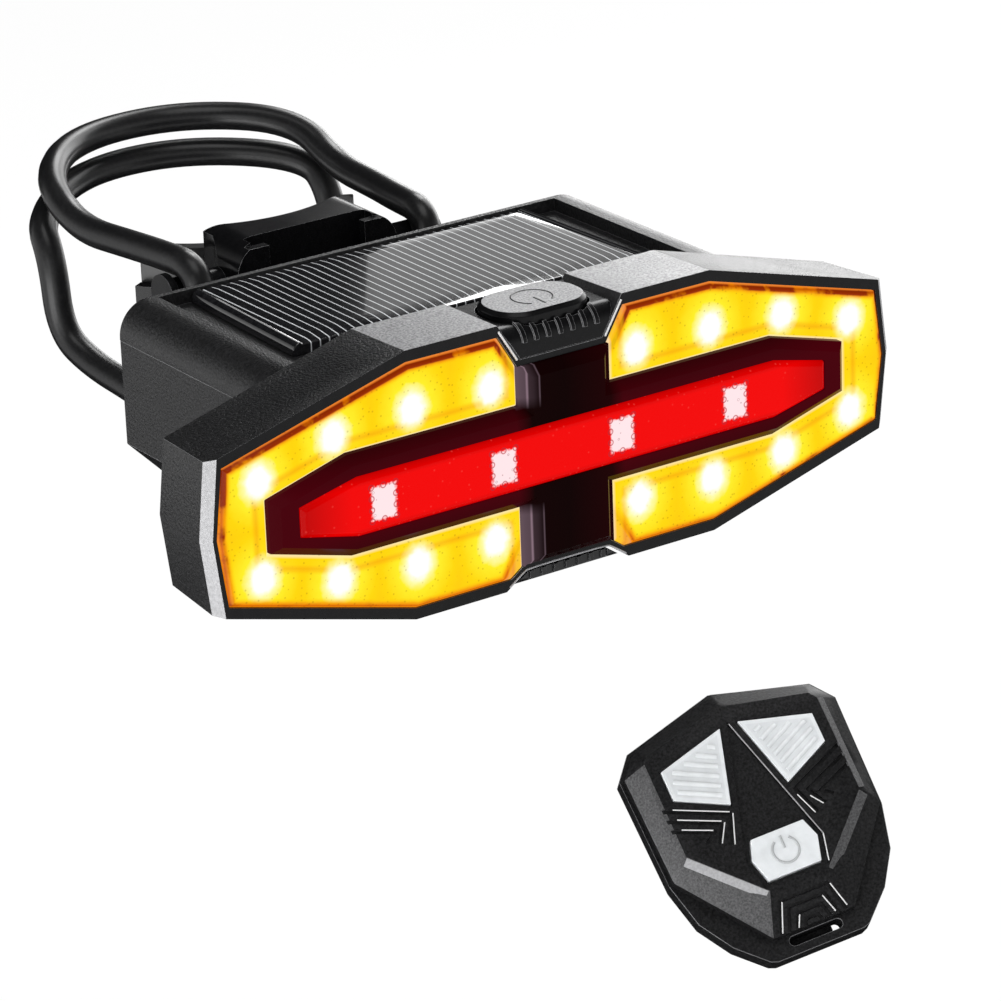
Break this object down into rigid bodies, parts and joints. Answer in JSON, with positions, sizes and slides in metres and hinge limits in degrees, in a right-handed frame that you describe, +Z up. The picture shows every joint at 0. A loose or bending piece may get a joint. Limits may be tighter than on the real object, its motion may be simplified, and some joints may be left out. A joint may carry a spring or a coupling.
{
  "type": "bicycle turn signal light",
  "caption": "Rear bicycle turn signal light with amber arrows, red strip, solar top, strap-on post bracket and a small handlebar remote.",
  "frame": {"origin": "on the post's axis at the middle of the bracket's clamp", "axes": "+Z up along the post, -Y out of the lamp's face, +X to the right of someone who looks at the face"},
  "size_m": [0.1297, 0.1041, 0.12],
  "materials": {
    "black_plastic": "fine grained",
    "gloss_black": "polished",
    "amber_lens": "clear amber, lit",
    "smoked_lens": "smoked, polished",
    "red_lens": "clear red, lit",
    "solar_glass": "polished laminate",
    "solar_silicon": "silicon wafer",
    "rubber": "satin",
    "circuit_board": "solder mask",
    "lamp_die": "phosphor",
    "steel": "brushed",
    "copper_lead": "insulated",
    "battery_wrap": "shrink film",
    "key_white": "translucent, ribbed"
  },
  "bodies": {
    "bracket": {"bracket": "black_plastic", "saddle_pad": "rubber", "rubber_strap": "rubber"},
    "lamp": {"front_bezel": "black_plastic", "rear_housing": "black_plastic", "top_cover": "black_plastic", "solar_cell": "solar_silicon", "solar_cover": "solar_glass", "solar_leads": "copper_lead", "amber_lens_left": "amber_lens", "amber_lens_right": "amber_lens", "smoked_lens": "smoked_lens", "red_lens_strip": "red_lens", "lens_gasket": "rubber", "light_baffle": "black_plastic", "main_board": "circuit_board", "amber_lamps_left": "lamp_die", "amber_lamps_right": "lamp_die", "red_lamps": "lamp_die", "button_pad": "gloss_black", "tact_switch": "steel", "switch_board": "circuit_board", "charging_socket": "steel", "battery_cell": "battery_wrap", "battery_leads": "copper_lead", "seam_seal": "rubber", "housing_screws": "steel"},
    "power_button": {"power_button": "gloss_black"},
    "port_cover": {"port_cover": "rubber"},
    "remote": {"remote_top_shell": "black_plastic", "remote_base": "black_plastic", "remote_keypad": "rubber", "remote_switches": "steel", "remote_board": "circuit_board", "coin_cell": "steel", "coin_contact": "steel", "remote_screws": "steel"},
    "remote_key_left": {"remote_key_left": "key_white"},
    "remote_key_right": {"remote_key_right": "key_white"},
    "remote_key_power": {"remote_key_power": "key_white"}
  },
  "joints": [
    {"name": "lamp_slide", "type": "slide", "parent": "bracket", "child": "lamp", "axis": [0, 0, 1], "range_m": [0, 0.024]},
    {"name": "power_press", "type": "slide", "parent": "lamp", "child": "power_button", "axis": [0, 0, -1], "range_m": [0, 0.0005], "stiffness_N_per_m": 600},
    {"name": "port_cover_hinge", "type": "hinge", "parent": "lamp", "child": "port_cover", "pos_m": [0, -0.07046, -0.0158], "axis": [1, 0, 0], "range_deg": [0, 100], "stiffness_Nm_per_rad": 0.001},
    {"name": "remote_lift", "type": "slide", "parent": "bracket", "child": "remote", "axis": [0, 0, 1], "range_m": [0, 0.05]},
    {"name": "left_key_press", "type": "slide", "parent": "remote", "child": "remote_key_left", "axis": [0.3523, 0.657, -0.6665], "range_m": [0, 0.0004], "stiffness_N_per_m": 500},
    {"name": "right_key_press", "type": "slide", "parent": "remote", "child": "remote_key_right", "axis": [0.3523, 0.657, -0.6665], "range_m": [0, 0.0004], "stiffness_N_per_m": 500},
    {"name": "power_key_press", "type": "slide", "parent": "remote", "child": "remote_key_power", "axis": [0.3523, 0.657, -0.6665], "range_m": [0, 0.0004], "stiffness_N_per_m": 500}
  ]
}
